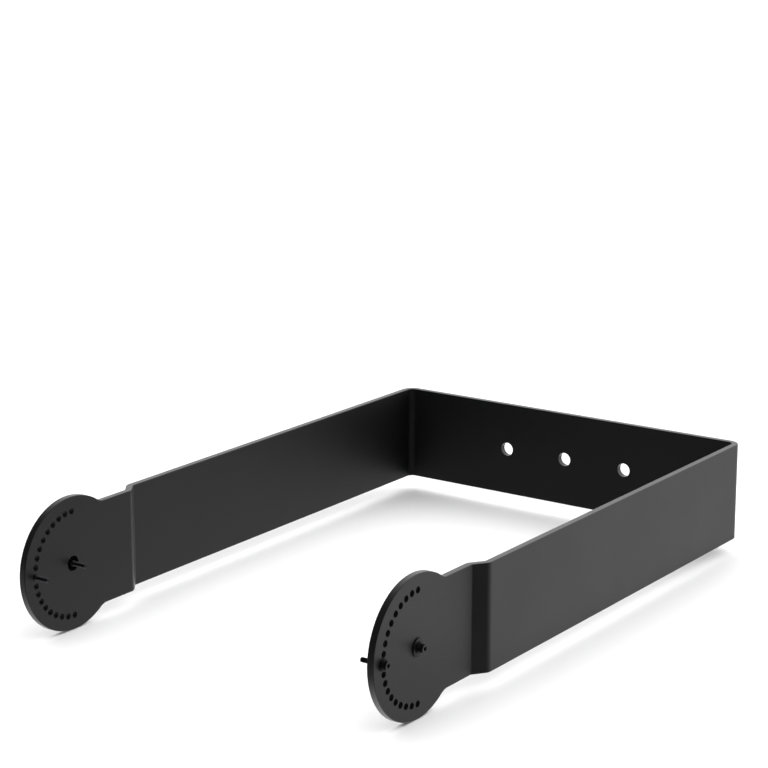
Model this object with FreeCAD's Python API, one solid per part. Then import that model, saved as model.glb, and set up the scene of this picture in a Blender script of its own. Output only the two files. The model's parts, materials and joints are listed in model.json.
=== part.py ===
"""Wall bracket for a loudspeaker: a flat steel strip folded into a U, with a round lobe on each arm.

The back of the U is bolted to a wall. Each arm steps inwards by a joggle and ends in a lobe with a pivot
hole and a half circle of index holes. A pivot screw and an index screw stand in each lobe: the cabinet
tilts about the pivot screws, and the index screws lock it every few degrees.

Millimetres. Origin at the centre of the wall face, +X to the right arm, +Y into the wall, +Z up.
"""
import FreeCAD, Part
import math
import os
from FreeCAD import Vector

# Strip and folds
strip_height = 90.0
strip_thickness = 6.0
outer_width = 370.0            # over the outsides of the two arms, behind the joggles
corner_bend_radius = 6.0       # inside radius of the two folds at the wall
edge_break = 0.6               # chamfer along the cut edges

# Arms, from the wall forwards
pivot_reach = 514.0            # wall face to the pivot axis
neck_length = 15.5             # flat stretch between the lobe's rear and the joggle
joggle_offset = 9.0            # how far each arm steps inwards
joggle_run = 12.0              # length of the step along the arm
joggle_bend_radius = 3.0       # inside radius of the two bends of a joggle

# Lobes
lobe_overhang = 12.5           # how far a lobe stands above and below the strip
neck_fillet = 15.0             # concave radius where the lobe meets the strip
pivot_hole_diameter = 13.0
index_hole_margin = 12.5       # lobe rim to the index circle
index_step_deg = 10.0
index_sweep_deg = 180.0        # from straight up, through straight ahead, to straight down
index_screw_deg = 0.0          # index position that holds the screw, straight ahead

# Wall holes
wall_hole_diameter = 13.0
wall_hole_pitch = 65.0
wall_hole_count = 3

# Screws and washers
shank_diameter = 5.0           # plain stretch in the washers and the lobe
shank_length = 9.0
thread_step = 0.5              # radial step down from the shank to the threaded end
thread_length = 13.0
head_overhang = 1.0            # head rim outside the shank
pivot_head_height = 4.0
index_head_height = 2.4
socket_across_flats = 3.0
pivot_socket_depth = 2.0
index_socket_depth = 1.2
index_hole_clearance = 0.25    # radial, shank to index hole
washer_clearance = 0.15        # radial, shank to washer bore
index_washer_band = 2.35       # radial width of the washers on the index screws
index_washer_thickness = 1.0
pivot_washer_lap = 1.0         # how far the pivot washers bear outside the pivot hole
pivot_washer_thickness = 1.2
spring_washer_band = 1.9
spring_washer_thickness = 1.2
spring_washer_gap = 0.8
spring_washer_slant_deg = 20.0

# Worked out from the sizes above
half_height = strip_height / 2
lobe_radius = half_height + lobe_overhang
index_circle_radius = lobe_radius - index_hole_margin
joggle_front = pivot_reach - lobe_radius - neck_length
joggle_rear = joggle_front - joggle_run
lobe_outside = outer_width / 2 - joggle_offset
shank_radius = shank_diameter / 2
thread_radius = shank_radius - thread_step
index_hole_diameter = shank_diameter + 2 * index_hole_clearance
washer_bore = shank_diameter + 2 * washer_clearance
index_washer_diameter = washer_bore + 2 * index_washer_band
pivot_washer_diameter = pivot_hole_diameter + 2 * pivot_washer_lap
spring_washer_diameter = washer_bore + 2 * spring_washer_band
head_radius = shank_radius + head_overhang

ALONG_X = Vector(1, 0, 0)
ALONG_Y = Vector(0, 1, 0)
ALONG_Z = Vector(0, 0, 1)
ORIGIN = Vector(0, 0, 0)
NEARLY_ONE = 0.999              # cosine that still counts as parallel


def rounded_path(corners, radii):
    """Edges of straight runs through the corners, joined by tangent arcs of the given radii."""
    edges = []
    start = corners[0]
    for before, corner, after, radius in zip(corners, corners[1:], corners[2:], radii):
        back = (before - corner).normalize()
        ahead = (after - corner).normalize()
        half_turn = (math.pi - back.getAngle(ahead)) / 2
        into_arc = corner + back * (radius * math.tan(half_turn))
        out_of_arc = corner + ahead * (radius * math.tan(half_turn))
        middle = corner + (back + ahead).normalize() * (radius / math.cos(half_turn) - radius)
        edges.append(Part.LineSegment(start, into_arc).toShape())
        edges.append(Part.Arc(into_arc, middle, out_of_arc).toShape())
        start = out_of_arc
    edges.append(Part.LineSegment(start, corners[-1]).toShape())
    return edges


def folded_plan():
    """Plan view of the folded strip: its outer face and its inner face, each with its own bend radii."""
    tip = pivot_reach + lobe_radius + strip_thickness
    half_turn = math.atan2(joggle_offset, joggle_run) / 2
    inner_shift = strip_thickness * math.tan(half_turn)
    tight, wide = joggle_bend_radius, joggle_bend_radius + strip_thickness

    def face_path(depth, shift, corner_radius, rear_radius, front_radius):
        wide_x = outer_width / 2 - depth
        narrow_x = lobe_outside - depth
        step_front, step_rear = shift - joggle_front, shift - joggle_rear
        half = [(narrow_x, -tip), (narrow_x, step_front), (wide_x, step_rear), (wide_x, -depth)]
        right = [Vector(x, y, 0) for x, y in half]
        left = [Vector(-x, y, 0) for x, y in half]
        radii = [front_radius, rear_radius, corner_radius]
        return rounded_path(left + right[::-1], radii + radii[::-1])

    outside = face_path(0, 0, corner_bend_radius + strip_thickness, wide, tight)
    inside = face_path(strip_thickness, inner_shift, corner_bend_radius, tight, wide)
    left_end = Part.LineSegment(outside[0].Vertexes[0].Point, inside[0].Vertexes[0].Point).toShape()
    right_end = Part.LineSegment(outside[-1].Vertexes[-1].Point, inside[-1].Vertexes[-1].Point).toShape()
    return Part.Face(Part.Wire(Part.__sortEdges__(outside + inside + [left_end, right_end])))


def side_outline():
    """Side view of an arm: a straight strip that runs through concave fillets into a round lobe."""
    pivot = Vector(0, -pivot_reach, 0)
    fillet_rise = half_height + neck_fillet
    fillet_run = math.sqrt((lobe_radius + neck_fillet) ** 2 - fillet_rise ** 2)
    to_fillet = Vector(0, fillet_run, fillet_rise).normalize()
    slope = math.atan2(fillet_rise, fillet_run) / 2 + math.pi / 4
    fillet_centre = pivot + Vector(0, fillet_run, fillet_rise)
    on_strip = pivot + Vector(0, fillet_run, half_height)
    on_fillet = fillet_centre - Vector(0, math.cos(slope), math.sin(slope)) * neck_fillet
    on_lobe = pivot + to_fillet * lobe_radius

    def below(point):
        return Vector(point.x, point.y, -point.z)

    wall_top = Vector(0, 0, half_height)
    lobe_front = pivot - ALONG_Y * lobe_radius
    edges = [
        Part.LineSegment(wall_top, on_strip),
        Part.Arc(on_strip, on_fillet, on_lobe),
        Part.Arc(on_lobe, lobe_front, below(on_lobe)),
        Part.Arc(below(on_lobe), below(on_fillet), below(on_strip)),
        Part.LineSegment(below(on_strip), below(wall_top)),
        Part.LineSegment(below(wall_top), wall_top),
    ]
    return Part.Face(Part.Wire([edge.toShape() for edge in edges]))


def cut_edges(blank):
    """The sharp edges of the folded blank: all but its bend lines and the seams across its rim."""
    def is_seam(edge):
        if not isinstance(edge.Curve, Part.Line):
            return False
        along = edge.Curve.Direction
        is_bend_line = abs(along.z) > NEARLY_ONE
        crosses_rim = abs(along.x) > NEARLY_ONE and edge.Length * NEARLY_ONE < strip_thickness
        return is_bend_line or crosses_rim
    return [edge for edge in blank.Edges if not is_seam(edge)]


def drill(diameter, mouth, direction):
    """A cylinder through the strip from the given mouth."""
    return Part.makeCylinder(diameter / 2, strip_thickness, mouth, direction)


def index_position(angle_deg):
    """Y and Z of an index position, measured from straight ahead upwards."""
    angle = math.radians(angle_deg)
    ahead = pivot_reach + index_circle_radius * math.cos(angle)
    return -ahead, index_circle_radius * math.sin(angle)


def make_yoke():
    """Folded and cut strip with broken edges, then drilled."""
    width_all = outer_width + 2 * strip_thickness
    folded = folded_plan().extrude(ALONG_Z * (2 * lobe_radius))
    folded.translate(ALONG_Z * -lobe_radius)
    arms = side_outline().extrude(ALONG_X * width_all)
    arms.translate(ALONG_X * (-width_all / 2))
    blank = folded.common(arms).removeSplitter().Solids[0]
    blank = blank.makeChamfer(edge_break, cut_edges(blank))

    drills = []
    first_hole = -wall_hole_pitch * (wall_hole_count - 1) / 2
    for number in range(wall_hole_count):
        mouth = Vector(first_hole + number * wall_hole_pitch, -strip_thickness, 0)
        drills.append(drill(wall_hole_diameter, mouth, ALONG_Y))
    for side in (-1, 1):
        outside = ALONG_X * (side * lobe_outside)
        inwards = ALONG_X * -side
        drills.append(drill(pivot_hole_diameter, outside - ALONG_Y * pivot_reach, inwards))
        for number in range(int(index_sweep_deg / index_step_deg) + 1):
            y, z = index_position(index_sweep_deg / 2 - number * index_step_deg)
            drills.append(drill(index_hole_diameter, outside + Vector(0, y, z), inwards))
    return blank.cut(drills).Solids[0]


def turned(profile):
    """Solid of revolution about X of a closed outline given as pairs of x and radius."""
    points = [Vector(x, radius, 0) for x, radius in profile]
    return Part.Face(Part.makePolygon(points + points[:1])).revolve(ORIGIN, ALONG_X, 360)


def washer(seat, diameter, thickness):
    """Flat ring with the screw's washer bore, on a seat at the given x."""
    bore, rim, top = washer_bore / 2, diameter / 2, seat + thickness
    return turned([(seat, bore), (seat, rim), (top, rim), (top, bore)])


def spring_washer(seat):
    """Split ring, pressed flat, with a slanted gap at its top."""
    ring = washer(seat, spring_washer_diameter, spring_washer_thickness)
    rim = spring_washer_diameter / 2
    reach = 3 * spring_washer_thickness
    slot = Part.makeBox(reach, spring_washer_gap, rim, Vector(-reach / 2, -spring_washer_gap / 2, 0))
    slot.rotate(ORIGIN, ALONG_Z, spring_washer_slant_deg)
    slot.translate(ALONG_X * (seat + spring_washer_thickness / 2))
    return ring.cut(slot)


def socket_screw(seat, head_height, socket_depth):
    """Shouldered screw whose head bears at the given x, with its threaded end towards the cabinet."""
    shoulder, top = seat - shank_length, seat + head_height
    tip = shoulder - thread_length
    body = turned([
        (tip, 0), (tip, thread_radius), (shoulder, thread_radius), (shoulder, shank_radius),
        (seat, shank_radius), (seat, head_radius), (top, head_radius), (top, 0),
    ])
    floor = top - socket_depth
    corner_radius = socket_across_flats / 2 / math.cos(math.pi / 6)
    turns = [math.radians(60 * number) for number in range(7)]
    corners = [Vector(floor, math.cos(turn) * corner_radius, math.sin(turn) * corner_radius)
               for turn in turns]
    return body.cut(Part.Face(Part.makePolygon(corners)).extrude(ALONG_X * socket_depth))


def fastener_stack(washer_diameter, washer_thickness, head_height, socket_depth):
    """Washer, spring washer and screw on the outer face of a lobe that lies at x = 0."""
    spring_seat = washer_thickness
    head_seat = spring_seat + spring_washer_thickness
    return {
        "washer": washer(0, washer_diameter, washer_thickness),
        "spring_washer": spring_washer(spring_seat),
        "screw": socket_screw(head_seat, head_height, socket_depth),
    }


def make_parts():
    """All pieces by node name, in their places."""
    parts = {"yoke": make_yoke()}
    index_y, index_z = index_position(index_screw_deg)
    pivot_sizes = (pivot_washer_diameter, pivot_washer_thickness, pivot_head_height, pivot_socket_depth)
    index_sizes = (index_washer_diameter, index_washer_thickness, index_head_height, index_socket_depth)
    places = (("pivot", -pivot_reach, 0, pivot_sizes), ("index", index_y, index_z, index_sizes))
    for place, y, z, sizes in places:
        for side, turn_deg in (("right", 0), ("left", 180)):
            for piece, shape in fastener_stack(*sizes).items():
                shape.rotate(ORIGIN, ALONG_Z, turn_deg)
                shape.translate(Vector(lobe_outside if side == "right" else -lobe_outside, y, z))
                parts[f"{place}_{piece}_{side}"] = shape
    return parts


os.makedirs("parts", exist_ok=True)
for name, shape in make_parts().items():
    shape.exportStep(f"parts/{name}.step")
    verdict = "valid" if shape.isValid() else "INVALID"
    print(name, verdict, len(shape.Solids), "solid,", round(shape.Volume, 2), "mm3")
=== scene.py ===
"""Loudspeaker wall bracket: a folded, powder-coated yoke with its pivot and index screws, on a plain stage.

Metres, in the frame of the packed part: origin at the centre of the wall face, +X to the right arm,
+Y into the wall, +Z up. Every surface is worked out on a grid of two parameters.
"""
import json
import math

import bmesh
import bpy
import numpy as np
from bpy.props import FloatProperty, FloatVectorProperty, IntProperty, PointerProperty
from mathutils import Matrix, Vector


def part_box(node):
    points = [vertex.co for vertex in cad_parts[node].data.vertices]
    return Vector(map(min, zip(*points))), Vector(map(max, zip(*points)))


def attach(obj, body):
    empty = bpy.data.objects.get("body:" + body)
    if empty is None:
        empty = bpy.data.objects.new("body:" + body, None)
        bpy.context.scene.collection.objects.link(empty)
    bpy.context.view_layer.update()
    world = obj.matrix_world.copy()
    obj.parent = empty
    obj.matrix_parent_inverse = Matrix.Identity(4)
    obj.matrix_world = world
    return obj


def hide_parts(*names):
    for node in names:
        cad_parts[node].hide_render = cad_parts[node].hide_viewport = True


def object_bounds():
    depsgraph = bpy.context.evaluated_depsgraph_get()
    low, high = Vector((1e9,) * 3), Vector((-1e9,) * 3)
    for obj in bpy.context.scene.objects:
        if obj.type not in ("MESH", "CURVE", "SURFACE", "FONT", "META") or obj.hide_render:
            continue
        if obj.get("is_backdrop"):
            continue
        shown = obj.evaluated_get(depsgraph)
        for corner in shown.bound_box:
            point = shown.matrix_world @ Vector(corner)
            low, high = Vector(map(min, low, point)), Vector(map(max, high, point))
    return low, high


bl_info = {
    "name": "Loudspeaker wall bracket",
    "version": (1, 0, 0),
    "blender": (4, 5, 0),
    "location": "View3D > Sidebar > Bracket",
    "description": "Builds a folded steel wall bracket with its screws and washers, on a plain stage",
    "category": "Add Mesh",
}

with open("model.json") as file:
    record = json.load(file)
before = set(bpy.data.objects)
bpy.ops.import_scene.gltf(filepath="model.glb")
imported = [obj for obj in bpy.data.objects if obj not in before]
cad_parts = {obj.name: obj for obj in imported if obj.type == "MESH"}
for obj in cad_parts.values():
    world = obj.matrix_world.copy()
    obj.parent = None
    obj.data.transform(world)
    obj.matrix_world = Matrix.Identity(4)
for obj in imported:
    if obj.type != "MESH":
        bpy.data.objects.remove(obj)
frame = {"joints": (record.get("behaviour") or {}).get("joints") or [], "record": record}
CAD_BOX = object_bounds()

MM = 0.001
FULL_TURN = 2 * math.pi
QUARTER_TURN = math.pi / 2
SIXTH_TURN = math.pi / 3
SIDES = {"left": -1, "right": 1}
PLACES = ("pivot", "index")
COAT_SLOT, STEEL_SLOT = "black_powder_coat", "black_steel"
MOUNTS = {mount["name"]: mount for mount in frame["record"]["mounts"]}
TILT_POINT = next(joint["pos_m"] for joint in frame["joints"] if joint["name"] == "tilt_right")
LOBE_OUTSIDE, PIVOT_Y = TILT_POINT[:2]
LOBE_INSIDE = MOUNTS["cabinet_face_right"]["pos_m"][0]
INDEX_Y = MOUNTS["cabinet_index_right"]["pos_m"][1]
SCREW_END = MOUNTS["cabinet_pivot_right"]["dims"]
WALL_BOLTS = MOUNTS["wall_bolts"]["dims"]


# Settings that a user can change in the sidebar

def length(name, description, default):
    """A length in metres."""
    return FloatProperty(name=name, description=description, default=default, min=0, precision=5,
                         unit="LENGTH")


def angle(name, description, degrees):
    """An angle, with its default in degrees."""
    return FloatProperty(name=name, description=description, default=math.radians(degrees), unit="ROTATION")


def amount(name, description, default):
    """A plain number."""
    return FloatProperty(name=name, description=description, default=default, min=0, precision=4)


def count(name, description, default):
    """A number of like features."""
    return IntProperty(name=name, description=description, default=default, min=3)


def colour(name, description, default):
    """A colour."""
    return FloatVectorProperty(name=name, description=description, default=default, min=0, max=1,
                               subtype="COLOR")


class YokeSizes(bpy.types.PropertyGroup):
    """Sizes of the folded strip, its lobes and its holes."""

    outer_width: length("Width", "Over the outsides of the two arms", CAD_BOX[1].x - CAD_BOX[0].x)
    strip_height: length("Strip height", "Height of the strip behind the lobes", 90 * MM)
    thickness: length("Thickness", "Thickness of the strip", LOBE_OUTSIDE - LOBE_INSIDE)
    corner_radius: length("Corner bend", "Inside radius of the folds at the wall", 6 * MM)
    pivot_reach: length("Reach", "From the wall face to the pivot axis", -PIVOT_Y)
    neck_length: length("Neck", "Flat stretch between the lobe's rear and the joggle", 15.5 * MM)
    joggle_run: length("Joggle run", "Length of the inward step along the arm", 12 * MM)
    joggle_radius: length("Joggle bend", "Inside radius of the joggle's bends", 3 * MM)
    lobe_radius: length("Lobe", "Radius of the round end of an arm", CAD_BOX[1].z)
    neck_fillet: length("Neck fillet", "Concave radius between strip and lobe", 15 * MM)
    pivot_hole: length("Pivot hole", "Radius of the hole in the middle of a lobe", 6.5 * MM)
    index_circle: length("Index circle", "Radius of the row of index holes", PIVOT_Y - INDEX_Y)
    index_hole: length("Index hole", "Radius of an index hole", 2.75 * MM)
    index_count: count("Index holes", "Index holes of a lobe", 19)
    index_step: angle("Index step", "Angle between two index holes", 10)
    wall_hole: length("Wall hole", "Radius of a wall hole", WALL_BOLTS["hole_r_mm"] * MM)
    wall_pitch: length("Wall pitch", "Distance between wall holes", WALL_BOLTS["spacing_x_mm"] * MM / 2)
    edge_round: length("Edge round", "Radius of the coated cut edges", 0.7 * MM)
    hole_round: length("Hole round", "Radius of the coated hole mouths", 0.18 * MM)


class FastenerSizes(bpy.types.PropertyGroup):
    """Sizes of the screws and washers that the frame's boxes don't give."""

    thread_radius: length("Thread", "Outer radius of the threaded end", SCREW_END["r_mm"] * MM)
    thread_length: length("Thread length", "Length of the threaded end", SCREW_END["length_mm"] * MM)
    thread_pitch: length("Pitch", "Advance of the thread in one turn", 0.7 * MM)
    thread_share: amount("Thread depth", "Depth of the thread, as a share of its pitch", 0.6)
    tip_chamfer: length("Tip chamfer", "Chamfer of the tip, and plain stretch behind the thread", 0.5 * MM)
    shank_radius: length("Shank", "Radius of the plain shank", 2.5 * MM)
    shank_length: length("Shank length", "From the head's seat to the thread", 9 * MM)
    head_round: length("Head round", "Radius of the head's outer edge", 0.45 * MM)
    lip: length("Lip", "Chamfer of the shoulder, the head's seat and the socket's mouth", 0.2 * MM)
    socket_flats: length("Socket", "Width across the flats of the hexagon socket", 3 * MM)
    socket_share: amount("Socket depth", "Depth of the hexagon socket, as a share of the head's height", 0.5)
    knurl_depth: length("Knurl", "Depth of the grooves round the head", 0.12 * MM)
    knurl_count: count("Knurl grooves", "Grooves round the head", 36)
    washer_bore: length("Washer bore", "Radius of the washers' bores", 2.65 * MM)
    edge_round: length("Edge round", "Radius of the washers' edges", 0.15 * MM)
    spring_gap: length("Spring gap", "Gap of the split spring washers", 0.8 * MM)
    spring_slant: angle("Spring slant", "Slant of the spring washers' gap", 20)


class FinishLooks(bpy.types.PropertyGroup):
    """Colours and grain of the two finishes and the floor."""

    coat_colour: colour("Powder coat", "Colour of the coat", (0.0042, 0.0042, 0.0045))
    coat_rough: amount("Coat roughness", "Mean roughness of the coat", 0.46)
    coat_grain: length("Coat grain", "Size of the coat's fine grain", 0.45 * MM)
    coat_peel: length("Coat peel", "Size of the coat's orange-peel waves", 2.7 * MM)
    coat_cloud: length("Coat clouds", "Size of the coat's paler and darker patches", 60 * MM)
    coat_relief: length("Coat relief", "Height of the coat's grain and waves", 0.05 * MM)
    steel_colour: colour("Black steel", "Colour of the black-oxide screws", (0.030, 0.030, 0.033))
    steel_rough: amount("Steel roughness", "Mean roughness of the screws", 0.34)
    steel_marks: length("Turning marks", "Width of the turning marks", 0.12 * MM)
    steel_wear: length("Worn spots", "Size of the brighter worn spots", 1.2 * MM)
    steel_relief: length("Steel relief", "Height of the turning marks", 0.01 * MM)
    floor_colour: colour("Floor", "Colour of the floor", (0.93, 0.93, 0.93))
    floor_cloud: length("Floor clouds", "Size of the floor's faint clouds", 0.4)


class StageLooks(bpy.types.PropertyGroup):
    """Camera and light."""

    azimuth: angle("Azimuth", "How far the camera stands to the right of straight ahead", 35.1158)
    elevation: angle("Elevation", "How far the camera looks down", 13.8310)
    lens: FloatProperty(name="Lens", description="Focal length", default=108.284, unit="CAMERA")
    camera_place: FloatVectorProperty(name="Camera", description="Where the camera stands",
                                      default=(1.0903, -1.8581, 0.6023), subtype="TRANSLATION")
    floor_drop: length("Floor drop", "Gap between the lobes and the floor", 0.2 * MM)
    floor_reach: length("Floor reach", "Radius of the floor", 60)
    rear_light: amount("Rear light", "Brightness of the surround behind the bracket, high or left", 1.6)
    low_light: amount("Low light", "Brightness of the surround behind the bracket, low on the right", 0.62)
    under_light: amount("Under light", "Brightness of the surround straight below the bracket", 2.1)
    left_light: amount("Left light", "Brightness of the surround before the bracket, low on the left", 0.2)
    front_light: amount("Front light", "Brightness that the surround has everywhere", 0.025)
    card_light: amount("Card light", "Power of the reflector card beside each arm", 1.9)
    top_light: amount("Top light", "Strength of the soft light overhead", 3.2)
    top_spread: angle("Top spread", "Angle over which the light overhead spreads", 120)


# Finishes

class Wire:
    """A shader socket that takes part in Python arithmetic: each operation adds its Math node."""

    def __init__(self, shading, socket):
        self.shading, self.socket = shading, socket

    def calculate(self, operation, *values):
        """A Math node on numbers and wires."""
        return self.shading.node("ShaderNodeMath", {"operation": operation}, dict(enumerate(values)))

    def __add__(self, other):
        return self.calculate("ADD", self, other)

    def __sub__(self, other):
        return self.calculate("SUBTRACT", self, other)

    def __rsub__(self, other):
        return self.calculate("SUBTRACT", other, self)

    def __mul__(self, other):
        return self.calculate("MULTIPLY", self, other)

    __radd__, __rmul__ = __add__, __mul__

    def larger(self, other):
        """The larger of two values."""
        return self.calculate("MAXIMUM", self, other)

    def swing(self, reach):
        """A value from 0 to 1, laid about zero and scaled to the given reach from end to end."""
        return (self - 0.5) * reach

    def step(self, start, end):
        """Smooth rise from 0 to 1 between two values."""
        return self.shading.node("ShaderNodeMapRange", {"interpolation_type": "SMOOTHSTEP"},
                                 {"Value": self, "From Min": start, "From Max": end})


class Shading:
    """A node tree that is written as expressions on wires."""

    def __init__(self, tree):
        tree.nodes.clear()
        self.tree = tree

    def node(self, kind, settings, sockets, output=0):
        """A node of a kind, with its settings set first and then its sockets' values or links."""
        made = self.tree.nodes.new(kind)
        for name, value in settings.items():
            setattr(made, name, value)
        for name, value in sockets.items():
            shown = [socket for socket in made.inputs if socket.enabled]
            socket = shown[name] if isinstance(name, int) else next(s for s in shown if s.name == name)
            if isinstance(value, Wire):
                self.tree.links.new(value.socket, socket)
            else:
                socket.default_value = value
        outputs = [socket for socket in made.outputs if socket.enabled]
        if not outputs:
            return None
        return Wire(self, outputs[output] if isinstance(output, int) else made.outputs[output])

    def place(self):
        """Object coordinates."""
        return self.node("ShaderNodeTexCoord", {}, {}, "Object")

    def split(self, vector):
        """The X, Y and Z of a vector."""
        first = self.node("ShaderNodeSeparateXYZ", {}, {"Vector": vector})
        return [Wire(self, part) for part in first.socket.node.outputs]

    def noise(self, size, detail, stretch=(1, 1, 1)):
        """Noise from 0 to 1 with features of about the given size, stretched along the axes."""
        scaled = self.node("ShaderNodeVectorMath", {"operation": "MULTIPLY"},
                           {0: self.place(), 1: tuple(1 / share for share in stretch)})
        return self.node("ShaderNodeTexNoise", {}, {"Vector": scaled, "Scale": 1 / size, "Detail": detail})

    def blend(self, share, first, second):
        """Colour between two colours."""
        return self.node("ShaderNodeMix", {"data_type": "RGBA"}, {"Factor": share, "A": first, "B": second})

    def bump(self, height, distance, strength):
        """Normal of a relief whose height goes from 0 to 1 over the given distance."""
        return self.node("ShaderNodeBump", {},
                         {"Height": height, "Distance": distance, "Strength": strength})

    def finish(self, sockets):
        """A principled surface with the given sockets, as the material's output."""
        surface = self.node("ShaderNodeBsdfPrincipled", {}, sockets)
        self.node("ShaderNodeOutputMaterial", {}, {"Surface": surface})


def new_material(name):
    """An empty material and its shading."""
    material = bpy.data.materials.new(name)
    material.use_nodes = True
    return material, Shading(material.node_tree)


def shades(rgb, *factors):
    """A colour made lighter or darker by each of the factors, with its alpha."""
    return [tuple(value * factor for value in rgb) + (1,) for factor in factors]


def powder_coat(looks):
    """Matt black powder coat: fine orange-peel grain, cloudy sheen and slightly paler, smoother edges."""
    material, shading = new_material("powder_coat")
    dark, pale, thin = shades(looks.coat_colour, 0.8, 1.2, 1.8)
    grain = shading.noise(looks.coat_grain, 3)
    peel = shading.noise(looks.coat_peel, 1)
    cloud = shading.noise(looks.coat_cloud, 3)
    edge = shading.node("ShaderNodeAttribute", {"attribute_name": Surface.EDGE_MASK}, {}, "Fac")
    shading.finish({
        "Base Color": shading.blend(edge * 0.5, shading.blend(cloud, dark, pale), thin),
        "Roughness": grain.swing(0.12) + cloud.swing(0.10) + looks.coat_rough - edge * 0.06,
        "Normal": shading.bump(grain * 0.6 + peel * 0.4, looks.coat_relief, 0.8),
        "IOR": 1.5,
    })
    return material


def black_steel(looks):
    """Black-oxide steel: dark, slightly oily metal with fine turning marks and brighter worn spots."""
    material, shading = new_material("black_oxide_steel")
    oiled, worn = shades(looks.steel_colour, 0.8, 2.2)
    marks = shading.noise(looks.steel_marks, 1, stretch=(1, 12, 12))
    wear = shading.noise(looks.steel_wear, 4).step(0.52, 0.72)
    shading.finish({
        "Base Color": shading.blend(wear, oiled, worn),
        "Roughness": marks.swing(0.14) + looks.steel_rough + wear * 0.08,
        "Normal": shading.bump(marks, looks.steel_relief, 0.3),
        "Metallic": 0.85,
    })
    return material


def pale_floor(looks):
    """Matt pale floor with a faint cloudiness."""
    material, shading = new_material("pale_floor")
    dim, full = shades(looks.floor_colour, 0.985, 1.0)
    shading.finish({
        "Base Color": shading.blend(shading.noise(looks.floor_cloud, 2), dim, full),
        "Roughness": 0.9,
        "Specular IOR Level": 0.0,
    })
    return material


def shared_material(name, make):
    """The finish of that name, made at its first use."""
    found = bpy.data.materials.get(name)
    return found or make(bpy.context.scene.bracket_finishes)


# Surfaces on grids

class Surface:
    """Patches that make up one mesh: grids of points, each with its normals and an edge mask."""

    EDGE_MASK, OWN_NORMAL = "rim", "aim"
    MERGE_DISTANCE = 0.001 * MM
    SHARP_ANGLE = math.radians(38)

    def __init__(self):
        self.points, self.normals, self.masks, self.quads = [], [], [], []
        self.count = 0

    def add(self, points, normals=None, mask=0.0):
        """A grid of rows and columns; its quads join neighbouring points."""
        rows, columns = points.shape[:2]
        index = self.count + np.arange(rows * columns).reshape(rows, columns)
        corners = (index[:-1, :-1], index[1:, :-1], index[1:, 1:], index[:-1, 1:])
        self.quads.append(np.stack(corners, axis=-1).reshape(-1, 4))
        self.points.append(points.reshape(-1, 3))
        self.normals.append(np.zeros((rows * columns, 3)) if normals is None else normals.reshape(-1, 3))
        self.masks.append(np.broadcast_to(mask, (rows, columns)).ravel())
        self.count += rows * columns

    def mesh(self, name, true_normals=False):
        """One closed mesh: shared borders and poles are merged, and all faces point outwards.

        With true normals it is shaded by the patches' own, and otherwise smoothly, but for edges that are
        sharper than the sharp angle.
        """
        mesh = bpy.data.meshes.new(name)
        mesh.from_pydata(np.concatenate(self.points), [], np.concatenate(self.quads))
        rim = mesh.attributes.new(self.EDGE_MASK, "FLOAT", "POINT")
        rim.data.foreach_set("value", np.concatenate(self.masks).astype(np.float32))
        aim = mesh.attributes.new(self.OWN_NORMAL, "FLOAT_VECTOR", "POINT")
        aim.data.foreach_set("vector", np.concatenate(self.normals).astype(np.float32).ravel())
        work = bmesh.new()
        work.from_mesh(mesh)
        bmesh.ops.remove_doubles(work, verts=work.verts, dist=self.MERGE_DISTANCE)
        bmesh.ops.recalc_face_normals(work, faces=work.faces)
        work.to_mesh(mesh)
        work.free()
        mesh.shade_smooth()
        if true_normals:
            kept = np.zeros(3 * len(mesh.vertices), np.float32)
            mesh.attributes[self.OWN_NORMAL].data.foreach_get("vector", kept)
            mesh.normals_split_custom_set_from_vertices(kept.reshape(-1, 3))
        else:
            mesh.set_sharp_from_angle(angle=self.SHARP_ANGLE)
        mesh.attributes.remove(mesh.attributes[self.OWN_NORMAL])
        return mesh


def fit_piece(mesh, material, node, body, slot):
    """Shows a mesh in place of a node of the frame."""
    piece = bpy.data.objects.new(mesh.name, mesh)
    bpy.context.scene.collection.objects.link(piece)
    mesh.materials.append(material)
    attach(piece, body)
    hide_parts(node)


def chain(*stretches):
    """Evenly spaced values through the given stops: a first value, then pairs of a stop and its steps."""
    start, values = stretches[0], [np.array(stretches[:1])]
    for stop, steps in stretches[1:]:
        values.append(np.linspace(start, stop, steps + 1)[1:])
        start = stop
    return np.concatenate(values)


def ray(turn):
    """Unit vectors at the given angles."""
    return np.stack([np.cos(turn), np.sin(turn)], axis=-1)


def around(steps):
    """Angles of a full turn in even steps, with the first place again at the end."""
    return np.linspace(0, FULL_TURN, steps + 1)


def grid(along, across):
    """Flat grid from its lines in both directions."""
    return np.stack(np.meshgrid(along, across, indexing="ij"), axis=-1)


def ruled(first, second, steps):
    """Grid of straight lines that join the points of two curves."""
    share = np.linspace(0, 1, steps + 1)[:, None]
    return first[:, None] * (1 - share) + second[:, None] * share


# Yoke

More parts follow.
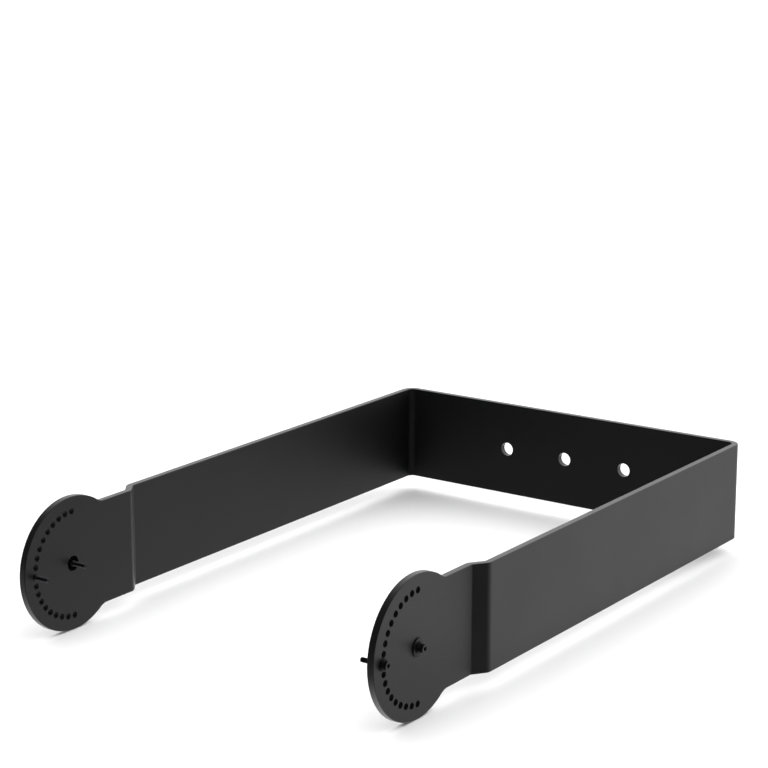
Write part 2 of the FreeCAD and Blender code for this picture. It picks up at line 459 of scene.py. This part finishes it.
class FoldedStrip:
    """Carries points of the flat strip onto the folded one.

    A flat point is (s, z, w): s along the middle of the strip from the centre of the wall face, z up and w
    through the thickness, towards the outside of the U. The heading of the middle line is constant on
    straight runs and changes evenly in bends, so a stretch of length d that turns by a moves along its
    chord, d times sin(a/2)/(a/2), at the mean heading. The point lies w off that line, square to it.
    """

    ROUND_STEPS = 4

    def __init__(self, sizes):
        half = sizes.thickness / 2
        corner = sizes.corner_radius + half
        bend = sizes.joggle_radius + half
        offset = sizes.outer_width / 2 - LOBE_OUTSIDE
        slope = math.atan2(offset, sizes.joggle_run)
        # On the outside of the U the joggle's front bend is tight and its rear bend wide
        front_tangent = sizes.joggle_radius * math.tan(slope / 2)
        rear_tangent = (sizes.joggle_radius + 2 * half) * math.tan(slope / 2)
        joggle_front = sizes.pivot_reach - sizes.lobe_radius - sizes.neck_length
        back = sizes.outer_width / 2 - corner - half
        arm = joggle_front - sizes.joggle_run - rear_tangent - corner - half
        slant = math.hypot(offset, sizes.joggle_run) - front_tangent - rear_tangent
        neck = sizes.pivot_reach - joggle_front - front_tangent
        lengths = np.array([back, corner * QUARTER_TURN, arm, bend * slope, slant, bend * slope, neck])
        turns = np.array([0, -QUARTER_TURN, 0, -slope, 0, slope, 0])
        self.half = half
        self.starts = np.concatenate([[0], np.cumsum(lengths)[:-1]])
        self.bends = turns / lengths
        self.headings = np.concatenate([[0], np.cumsum(turns)[:-1]])
        self.pivot = sum(lengths)
        chords = lengths * np.sinc(turns / FULL_TURN)
        moves = chords[:, None] * ray(self.headings + turns / 2)
        self.places = np.concatenate([[[0, -half]], [0, -half] + np.cumsum(moves, axis=0)[:-1]])

    def carry(self, flat, aim):
        """Places and normals of flat points; the left half mirrors the right one."""
        side = np.where(flat[..., 0] < 0, -1.0, 1.0)
        along = np.abs(flat[..., 0])
        run = np.searchsorted(self.starts, along, side="right") - 1
        done = along - self.starts[run]
        turn = self.bends[run] * done
        chord = done * np.sinc(turn / FULL_TURN)
        middle = self.places[run] + chord[..., None] * ray(self.headings[run] + turn / 2)
        heading = self.headings[run] + turn
        outwards = np.stack([-side * np.sin(heading), np.cos(heading)], axis=-1)
        forwards = np.stack([np.cos(heading), side * np.sin(heading)], axis=-1)
        middle[..., 0] *= side
        place = middle + outwards * flat[..., 2:]
        facing = forwards * aim[..., :1] + outwards * aim[..., 2:]
        return (np.concatenate([place, flat[..., 1:2]], axis=-1),
                np.concatenate([facing, aim[..., 1:2]], axis=-1))

    def add_faces(self, surface, lines):
        """The outer and the inner face over a flat grid of s and z."""
        for way in (1, -1):
            flat = np.concatenate([lines, np.full(lines.shape[:2] + (1,), way * self.half)], axis=-1)
            surface.add(*self.carry(flat, np.broadcast_to([0.0, 0.0, way], flat.shape)))

    def add_rim(self, surface, outline, inwards, radius):
        """Quarter round, flat and quarter round again, carried along an outline from face to face.

        At the turn a the profile lies radius * (1 - sin a) inside the outline and radius * (1 - cos a) below
        the face, and its normal turns from the face's to the outline's. The edge mask grows with that turn,
        so it is zero where the rim meets a face.
        """
        turn = np.linspace(0, QUARTER_TURN, self.ROUND_STEPS + 1)
        inset = radius * (1 - np.sin(turn))
        depth = self.half - radius * (1 - np.cos(turn))
        inset, depth = np.concatenate([inset, inset[::-1]]), np.concatenate([depth, -depth[::-1]])
        rise = np.concatenate([np.cos(turn), -np.cos(turn[::-1])])
        side = np.sqrt(1 - rise ** 2)
        on_edge = outline[:, None] + inwards[:, None] * inset[:, None]
        facing = -inwards[:, None] * side[:, None]
        shape = on_edge.shape[:2] + (1,)
        flat = np.concatenate([on_edge, np.broadcast_to(depth[:, None], shape)], axis=-1)
        aim = np.concatenate([facing, np.broadcast_to(rise[:, None], shape)], axis=-1)
        surface.add(*self.carry(flat, aim), mask=1 - np.abs(rise))

    def add_hole(self, surface, centre, radius, mouth_round, border, steps):
        """A round hole with rounded mouths inside a closed border, and lines from its mouths to the border.

        The points of a mouth are evenly spaced and go round the way the border does.
        """
        across, up = (border - centre).T
        swept = np.unwrap(np.arctan2(up, across))
        mouth = ray(np.linspace(swept[0], swept[-1], len(border)))
        self.add_faces(surface, ruled(centre + mouth * (radius + mouth_round), border, steps))
        self.add_rim(surface, centre + mouth * radius, mouth, mouth_round)


class Lobe:
    """The flat round end of an arm, in polar patches about its pivot; points are (ahead, up).

    From the pivot outwards: a ring round the pivot hole, a band with one cell for each index hole, and a
    ring that ends at the outline. The outline is the lobe's circle, a concave fillet, the straight edge of
    the strip and a seam across the strip.
    """

    BAND_HALF = 6 * MM           # half the width of the band of index holes
    SEAM_GAP = 4.5 * MM          # from the lobe's circle back to the seam
    EDGE_STEPS, FILLET_STEPS, REAR_ARC_STEPS = 4, 10, 16
    CELL_ARC_STEPS, CELL_SIDE_STEPS, CELL_STEPS = 8, 12, 2
    INNER_RING_STEPS, OUTER_RING_STEPS = 3, 2
    ANGLE_SLACK = 1e-6           # so that the spokes beside the outermost cells count as rear ones

    def __init__(self, sizes, seam_heights):
        self.sizes = sizes
        half, fillet, radius = sizes.strip_height / 2, sizes.neck_fillet, sizes.lobe_radius
        run = math.sqrt((radius + fillet) ** 2 - (half + fillet) ** 2)
        on_lobe = math.atan2(half + fillet, -run)
        self.seam = radius + self.SEAM_GAP
        self.front = sizes.index_step * sizes.index_count / 2
        front_steps = sizes.index_count * self.CELL_ARC_STEPS // 2
        edge = grid(np.linspace(-self.seam, -run, self.EDGE_STEPS + 1), [half])[:, 0]
        bend = ray(np.linspace(-QUARTER_TURN, on_lobe - math.pi, self.FILLET_STEPS + 1))[1:]
        arc = ray(chain(on_lobe, (self.front, self.REAR_ARC_STEPS), (0, front_steps))[1:])
        self.outline = self.with_lower_half(edge, [-run, half + fillet] + bend * fillet, arc * radius)
        self.inwards = self.with_lower_half(np.broadcast_to([0.0, -1.0], edge.shape), bend, -arc)
        seam_line = grid([-self.seam], seam_heights)[0]
        self.border = np.concatenate([self.outline + self.inwards * sizes.edge_round, seam_line[1:]])
        self.turn = np.arctan2(self.border[:, 1], self.border[:, 0])

    @staticmethod
    def with_lower_half(*stretches):
        """The upper half of an outline, from the seam to straight ahead, and its mirror image back again."""
        upper = np.concatenate(stretches)
        return np.concatenate([upper, (upper * [1, -1])[-2::-1]])

    def add(self, surface, strip, side):
        """All patches of one lobe, laid on the flat strip."""
        sizes = self.sizes
        inner, outer = sizes.index_circle - self.BAND_HALF, sizes.index_circle + self.BAND_HALF
        spokes = ray(self.turn)

        def on_strip(points):
            return np.stack([side * (strip.pivot + points[..., 0]), points[..., 1]], axis=-1)

        def turned(vectors):
            return vectors * [side, 1]

        def add_band(first, second, steps):
            strip.add_faces(surface, on_strip(ruled(first, second, steps)))

        strip.add_rim(surface, on_strip(self.outline), turned(self.inwards), sizes.edge_round)
        add_band(spokes * outer, self.border, self.OUTER_RING_STEPS)
        strip.add_rim(surface, on_strip(spokes * sizes.pivot_hole), turned(spokes), sizes.hole_round)
        add_band(spokes * (sizes.pivot_hole + sizes.hole_round), spokes * inner, self.INNER_RING_STEPS)
        # Behind the index holes the band is plain: unbroken stretches of spokes
        rear = np.abs(self.turn) > self.front - self.ANGLE_SLACK
        breaks = np.flatnonzero(np.diff(rear.astype(int))) + 1
        for part in np.split(np.arange(len(rear)), breaks):
            if rear[part[0]] and len(part) > 1:
                add_band(spokes[part] * inner, spokes[part] * outer, self.CELL_SIDE_STEPS)
        for number in range(sizes.index_count):
            turn = (number - (sizes.index_count - 1) / 2) * sizes.index_step
            centre = on_strip(ray(turn) * sizes.index_circle)
            border = on_strip(self.cell_border(turn, inner, outer))
            strip.add_hole(surface, centre, sizes.index_hole, sizes.hole_round, border, self.CELL_STEPS)

    def cell_border(self, centre, inner, outer):
        """Closed border of an index hole's cell: the inner arc, a side, the outer arc and the other side."""
        low, high = centre - self.sizes.index_step / 2, centre + self.sizes.index_step / 2
        arcs, sides = self.CELL_ARC_STEPS, self.CELL_SIDE_STEPS
        turn = chain(low, (high, arcs), (high, sides), (low, arcs), (low, sides))
        distance = chain(inner, (inner, arcs), (outer, sides), (outer, arcs), (inner, sides))
        return ray(turn) * distance[:, None]


class Panels:
    """The strip between the lobes, in flat grids of s and z; three have a wall hole in a square cell.

    All panels share their lines in z, which meet the lobes at their seams.
    """

    CELL_HALF = 16 * MM
    CELL_STEPS, EDGE_STEPS, GAP_STEPS, RING_STEPS = 10, 4, 4, 3
    RUN_STEPS = (6, 14, 14, 8, 3, 8, 2)     # back, fold, arm, the joggle's bend, slant and bend, neck

    def __init__(self, sizes):
        self.sizes = sizes
        self.half = sizes.strip_height / 2
        edge, cell = self.half - sizes.edge_round, self.CELL_HALF
        stops, steps = (-cell, cell, edge), (self.EDGE_STEPS, self.CELL_STEPS, self.EDGE_STEPS)
        self.heights = chain(-edge, *zip(stops, steps))

    def spans(self, strip, seam):
        """The lines in s of each panel, and whether it has a wall hole."""
        pitch, cell = self.sizes.wall_pitch, self.CELL_HALF
        right = chain(pitch + cell, *zip([*strip.starts[1:], seam], self.RUN_STEPS))
        yield right, False
        yield -right[::-1], False
        for hole in (-pitch, 0, pitch):
            yield chain(hole - cell, (hole + cell, self.CELL_STEPS)), True
        reach = pitch / 2 - cell
        for gap in (-pitch / 2, pitch / 2):
            yield chain(gap - reach, (gap + reach, self.GAP_STEPS)), False

    def add(self, surface, strip, seam):
        """All panels from seam to seam, with their rims."""
        for along, has_hole in self.spans(strip, seam):
            for way in (-1.0, 1.0):
                outline = grid(along, [way * self.half])[:, 0]
                inwards = np.broadcast_to([0.0, -way], outline.shape)
                strip.add_rim(surface, outline, inwards, self.sizes.edge_round)
            if has_hole:
                self.add_cell(surface, strip, along)
            else:
                strip.add_faces(surface, grid(along, self.heights))

    def add_cell(self, surface, strip, along):
        """The faces below and above a cell, and the hole in it."""
        sizes, edge = self.sizes, self.EDGE_STEPS
        strip.add_faces(surface, grid(along, self.heights[:edge + 1]))
        strip.add_faces(surface, grid(along, self.heights[-edge - 1:]))
        level = self.heights[edge:-edge]
        border = np.concatenate([
            grid(along, level[:1])[:, 0], grid(along[-1:], level[1:])[0],
            grid(along[-2::-1], level[-1:])[:, 0], grid(along[:1], level[-2::-1])[0]])
        centre = np.array([(along[0] + along[-1]) / 2, 0])
        strip.add_hole(surface, centre, sizes.wall_hole, sizes.hole_round, border, self.RING_STEPS)


def build_yoke(sizes):
    """Surface of the folded strip: its panels and its two lobes."""
    strip, surface = FoldedStrip(sizes), Surface()
    panels = Panels(sizes)
    lobe = Lobe(sizes, panels.heights)
    panels.add(surface, strip, strip.pivot - lobe.seam)
    for side in SIDES.values():
        lobe.add(surface, strip, side)
    return surface.mesh("yoke_surface", true_normals=True)


# Fasteners

WASHER_TURN, SCREW_TURN = around(72), around(144)
WASHER_ROUND_STEPS, WASHER_END_STEPS = 3, 2
HEAD_STEPS, HEAD_ROUND_STEPS = 3, 5
STEPS_PER_PITCH = 8


class Axis:
    """The axis of a fastener, outwards from its lobe, taken from the box of the fastener's node."""

    def __init__(self, node, side):
        low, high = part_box(node)
        self.side = side
        self.centre = ((low.y + high.y) / 2, (low.z + high.z) / 2)
        self.rim = (high.y - low.y) / 2
        self.low, self.high = sorted((side * low.x, side * high.x))

    def place(self, along, radius, turn):
        """Points at distances along the axis and turns about it.

        The left side is the right one turned about Z, so its threads stay right-handed.
        """
        y = self.centre[0] + self.side * radius * np.cos(turn)
        z = self.centre[1] + radius * np.sin(turn)
        return np.stack(np.broadcast_arrays(self.side * along, y, z), axis=-1)


def washer_profile(axis, sizes):
    """Closed profile of a washer, a rectangle with rounded corners, as columns of distances and radii."""
    low, high, inner, outer = axis.low, axis.high, sizes.washer_bore, axis.rim
    turn = np.linspace(0, QUARTER_TURN, WASHER_ROUND_STEPS + 1)
    middle = np.array([(low + high) / 2, (inner + outer) / 2])
    stretches = []
    for quarter, corner in enumerate(np.array([(high, outer), (low, outer), (low, inner), (high, inner)])):
        centre = corner - sizes.edge_round * np.sign(corner - middle)
        stretches.append(centre + sizes.edge_round * ray(turn + quarter * QUARTER_TURN))
    profile = np.concatenate([*stretches, stretches[0][:1]])
    return profile[:, :1], profile[:, 1:]


def build_washer(axis, sizes, name):
    """A rounded rectangle turned about the axis."""
    along, radius = washer_profile(axis, sizes)
    surface = Surface()
    surface.add(axis.place(along, radius, WASHER_TURN))
    return surface.mesh(name)


def build_spring_washer(axis, sizes, name):
    """A rounded rectangle carried round the axis between two slanted ends, each closed to a point.

    The gap is at the top. A point of the profile at the distance a from the washer's middle starts and ends
    where its height across the axis is (a * sin(slant) plus or minus half the gap) / cos(slant).
    """
    along, radius = washer_profile(axis, sizes)
    lean = (along - (axis.low + axis.high) / 2) * math.sin(sizes.spring_slant)
    before, after = (np.arcsin((lean + way * sizes.spring_gap / 2) / math.cos(sizes.spring_slant) / radius)
                     for way in (-1, 1))
    share = WASHER_TURN / FULL_TURN
    turn = QUARTER_TURN - after * (1 - share) - (before + FULL_TURN) * share
    surface = Surface()
    ring = axis.place(along, radius, turn)
    surface.add(ring)
    for end in (ring[:, 0], ring[:, -1]):
        middle = np.broadcast_to(end[:-1].mean(axis=0), end.shape)
        surface.add(ruled(end, middle, WASHER_END_STEPS))
    return surface.mesh(name)


def stations(along, radius, thread=0.0, knurl=0.0, hexagon=0.0):
    """Rows of a screw's profile: distance along the axis, radius, shares of thread, knurl and hexagon."""
    return np.stack(np.broadcast_arrays(*np.atleast_1d(along, radius, thread, knurl, hexagon)), axis=-1)


def screw_profile(axis, sizes):
    """Stations of a screw from its tip to the bottom of its socket."""
    shoulder, top = axis.low + sizes.thread_length, axis.high
    head_seat = shoulder + sizes.shank_length
    end, shank, head = sizes.thread_radius, sizes.shank_radius, axis.rim
    chamfer, head_round, lip = sizes.tip_chamfer, sizes.head_round, sizes.lip
    flat = sizes.socket_flats / 2
    mouth = flat / math.cos(SIXTH_TURN / 2) + lip
    floor = top - sizes.socket_share * (top - head_seat)
    thread_stations = int(STEPS_PER_PITCH * sizes.thread_length / sizes.thread_pitch)
    thread = np.linspace(axis.low + chamfer, shoulder - chamfer, thread_stations)
    fade = np.clip(np.minimum(thread - thread[0], thread[-1] - thread) / sizes.thread_pitch, 0, 1)
    side = np.linspace(head_seat + 2 * lip, top - head_round, HEAD_STEPS + 1)
    knurl = np.pad(np.ones(HEAD_STEPS - 1), 1)
    bow = np.linspace(0, QUARTER_TURN, HEAD_ROUND_STEPS + 1)
    return np.concatenate([
        stations(axis.low, np.array([0, end - chamfer])),
        stations(thread, end, thread=fade),
        stations(shoulder, np.array([end, shank - lip])),
        stations(np.array([shoulder + lip, head_seat]), shank),
        stations(head_seat, head - lip),
        stations(head_seat + lip, head),
        stations(side, head, knurl=knurl),
        stations(top - head_round * (1 - np.sin(bow)), head - head_round * (1 - np.cos(bow))),
        stations(top, mouth),
        stations(np.array([top - lip, floor]), flat, hexagon=1.0),
        stations(floor - 2 * lip, 0),
    ])


def build_screw(axis, sizes, name):
    """A profile turned about the axis, with a helical thread, a knurled head and a hexagon socket.

    The radius of a station is lessened by the thread, a cosine of the advance less the turn, and by the
    knurl, a cosine of the turn. In the socket it is the distance from the axis to a hexagon's side, so it is
    divided by the cosine of the turn from the middle of that side.
    """
    along, radius, thread, knurl, hexagon = (column[:, None] for column in screw_profile(axis, sizes).T)
    crest = 0.5 - 0.5 * np.cos(FULL_TURN * along / sizes.thread_pitch - SCREW_TURN)
    grooves = 0.5 - 0.5 * np.cos(sizes.knurl_count * SCREW_TURN)
    from_side = np.mod(SCREW_TURN, SIXTH_TURN) - SIXTH_TURN / 2
    depth = sizes.thread_share * sizes.thread_pitch * thread * crest + sizes.knurl_depth * knurl * grooves
    reach = (radius - depth) * (1 - hexagon + hexagon / np.cos(from_side))
    surface = Surface()
    surface.add(axis.place(along, reach, SCREW_TURN))
    return surface.mesh(name)


def fit_fasteners(piece, build):
    """Builds one kind of fastener at every place and on both sides."""
    sizes = bpy.context.scene.bracket_fasteners
    steel = shared_material("black_oxide_steel", black_steel)
    for place in PLACES:
        for side, way in SIDES.items():
            node = f"{place}_{piece}_{side}"
            mesh = build(Axis(node, way), sizes, f"{node}_surface")
            fit_piece(mesh, steel, node, f"{place}_{side}", STEEL_SLOT)


# Stage

FLOOR_TURN, FLOOR_FIRST_RING, FLOOR_RINGS = around(64), 0.5, 8
CARD_PLACE, CARD_SIZE, CARD_LIFT = (0.75, 0.4), (1.1, 1.6), 2 * MM
LAMP_HEIGHT = 4
SENSOR_WIDTH = 36                # millimetres, as the lens


def build_floor(stage, level):
    """A wide flat disc: rings of growing radius."""
    rings = np.geomspace(FLOOR_FIRST_RING, stage.floor_reach, FLOOR_RINGS)
    radius = np.concatenate([[0], rings])[:, None]
    x, y = radius * np.cos(FLOOR_TURN), radius * np.sin(FLOOR_TURN)
    surface = Surface()
    surface.add(np.stack(np.broadcast_arrays(x, y, level), axis=-1))
    floor = bpy.data.objects.new("floor", surface.mesh("floor"))
    bpy.context.scene.collection.objects.link(floor)
    floor.data.materials.append(shared_material("pale_floor", pale_floor))
    floor.visible_glossy = False
    floor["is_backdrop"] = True


def light_surround(stage):
    """Surround that the metal mirrors, by direction.

    It is bright behind the bracket and straight below it, softer behind it low on the right, faint before
    it low on the left and nearly dark elsewhere, so that the faces keep apart. Each step gives where a glow
    begins and where it is full, as parts of a direction of length 1.
    """
    world = bpy.data.worlds.new("surround")
    bpy.context.scene.world = world
    world.use_nodes = True
    shading = Shading(world.node_tree)
    right, rear, up = shading.split(shading.node("ShaderNodeTexCoord", {}, {}, "Generated"))
    left, front, down = 0 - right, 0 - rear, 0 - up
    full = up.step(-0.2, 0.2).larger(left.step(-0.35, 0.0))
    behind = rear.step(-0.05, 0.7) * (full * (stage.rear_light - stage.low_light) + stage.low_light)
    below = down.step(0.5, 0.9) * stage.under_light
    before = front.step(0.3, 0.8) * down.step(0.0, 0.3) * left.step(0.0, 0.5) * stage.left_light
    strength = behind.larger(below) + before + stage.front_light
    glow = shading.node("ShaderNodeBackground", {}, {"Color": (1, 1, 1, 1), "Strength": strength})
    shading.node("ShaderNodeOutputWorld", {}, {"Surface": glow})


def add_light(name, kind, energy, place, turn):
    """A light at a place, turned from straight down."""
    light = bpy.data.lights.new(name, kind)
    light.energy = energy
    lamp = bpy.data.objects.new(name, light)
    lamp.location, lamp.rotation_euler = place, turn
    bpy.context.scene.collection.objects.link(lamp)
    return lamp


def light_overhead(stage):
    """A wide soft light from above that whitens the floor and leaves no highlight on the metal."""
    lamp = add_light("overhead", "SUN", stage.top_light, (0, 0, LAMP_HEIGHT), (0, 0, 0))
    lamp.data.angle = stage.top_spread
    lamp.visible_glossy = False


def lay_cards(stage, level):
    """A reflector card on the floor beside each arm, seen only in the metal's sheen."""
    for side, way in SIDES.items():
        place = (CARD_PLACE[0] * way, CARD_PLACE[1] * way, level + CARD_LIFT)
        lamp = add_light(f"card_{side}", "AREA", stage.card_light, place, (math.pi, 0, 0))
        lamp.data.shape = "RECTANGLE"
        lamp.data.size, lamp.data.size_y = CARD_SIZE
        lamp.visible_camera = lamp.visible_diffuse = False


def place_camera(stage):
    """A camera at the given place that looks along the given azimuth and elevation."""
    camera = bpy.data.cameras.new("camera")
    camera.lens, camera.sensor_width = stage.lens, SENSOR_WIDTH
    viewer = bpy.data.objects.new("camera", camera)
    viewer.location = stage.camera_place
    viewer.rotation_euler = (QUARTER_TURN - stage.elevation, 0, stage.azimuth)
    bpy.context.scene.collection.objects.link(viewer)
    bpy.context.scene.camera = viewer


# Operators, sidebar and registration

class BRACKET_OT_yoke(bpy.types.Operator):
    """Builds the folded strip with its lobes and holes"""

    bl_idname = "bracket.yoke"
    bl_label = "Yoke"

    def execute(self, context):
        coat = shared_material("powder_coat", powder_coat)
        fit_piece(build_yoke(context.scene.bracket_yoke), coat, "yoke", "yoke", COAT_SLOT)
        return {"FINISHED"}


class BRACKET_OT_washers(bpy.types.Operator):
    """Builds the flat washers"""

    bl_idname = "bracket.washers"
    bl_label = "Washers"

    def execute(self, context):
        fit_fasteners("washer", build_washer)
        return {"FINISHED"}


class BRACKET_OT_spring_washers(bpy.types.Operator):
    """Builds the split spring washers"""

    bl_idname = "bracket.spring_washers"
    bl_label = "Spring washers"

    def execute(self, context):
        fit_fasteners("spring_washer", build_spring_washer)
        return {"FINISHED"}


class BRACKET_OT_screws(bpy.types.Operator):
    """Builds the pivot and index screws"""

    bl_idname = "bracket.screws"
    bl_label = "Screws"

    def execute(self, context):
        fit_fasteners("screw", build_screw)
        return {"FINISHED"}


class BRACKET_OT_stage(bpy.types.Operator):
    """Sets out the floor, the light and the camera"""

    bl_idname = "bracket.stage"
    bl_label = "Stage"

    def execute(self, context):
        stage = context.scene.bracket_stage
        level = CAD_BOX[0].z - stage.floor_drop
        build_floor(stage, level)
        light_surround(stage)
        light_overhead(stage)
        lay_cards(stage, level)
        place_camera(stage)
        context.scene.view_settings.view_transform = "Standard"
        return {"FINISHED"}


SETTINGS = {"bracket_yoke": YokeSizes, "bracket_fasteners": FastenerSizes,
            "bracket_finishes": FinishLooks, "bracket_stage": StageLooks}
OPERATORS = (BRACKET_OT_yoke, BRACKET_OT_washers, BRACKET_OT_spring_washers, BRACKET_OT_screws,
             BRACKET_OT_stage)


class BRACKET_PT_sidebar(bpy.types.Panel):
    """Sizes, finishes and operators of the bracket"""

    bl_label = "Wall bracket"
    bl_space_type = "VIEW_3D"
    bl_region_type = "UI"
    bl_category = "Bracket"

    def draw(self, context):
        for name, group in SETTINGS.items():
            column = self.layout.column(align=True)
            column.label(text=group.__doc__)
            for setting in group.__annotations__:
                column.prop(getattr(context.scene, name), setting)
        for operator in OPERATORS:
            self.layout.operator(operator.bl_idname)


CLASSES = (*SETTINGS.values(), *OPERATORS, BRACKET_PT_sidebar)


def register():
    """Makes the classes known, and gives the scene its settings."""
    for item in CLASSES:
        bpy.utils.register_class(item)
    for name, group in SETTINGS.items():
        setattr(bpy.types.Scene, name, PointerProperty(type=group))


def unregister():
    """Takes back what register did."""
    for name in SETTINGS:
        delattr(bpy.types.Scene, name)
    for item in reversed(CLASSES):
        bpy.utils.unregister_class(item)


def main():
    """Builds every piece and the stage, and works out the box of the frame and of the finished bracket."""
    register()
    bpy.ops.bracket.yoke()
    bpy.ops.bracket.washers()
    bpy.ops.bracket.spring_washers()
    bpy.ops.bracket.screws()
    bpy.ops.bracket.stage()
    boxes = {"cad": CAD_BOX, "visual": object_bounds()}
    {name: [list(corner) for corner in box] for name, box in boxes.items()}


if __name__ == "__main__":
    main()
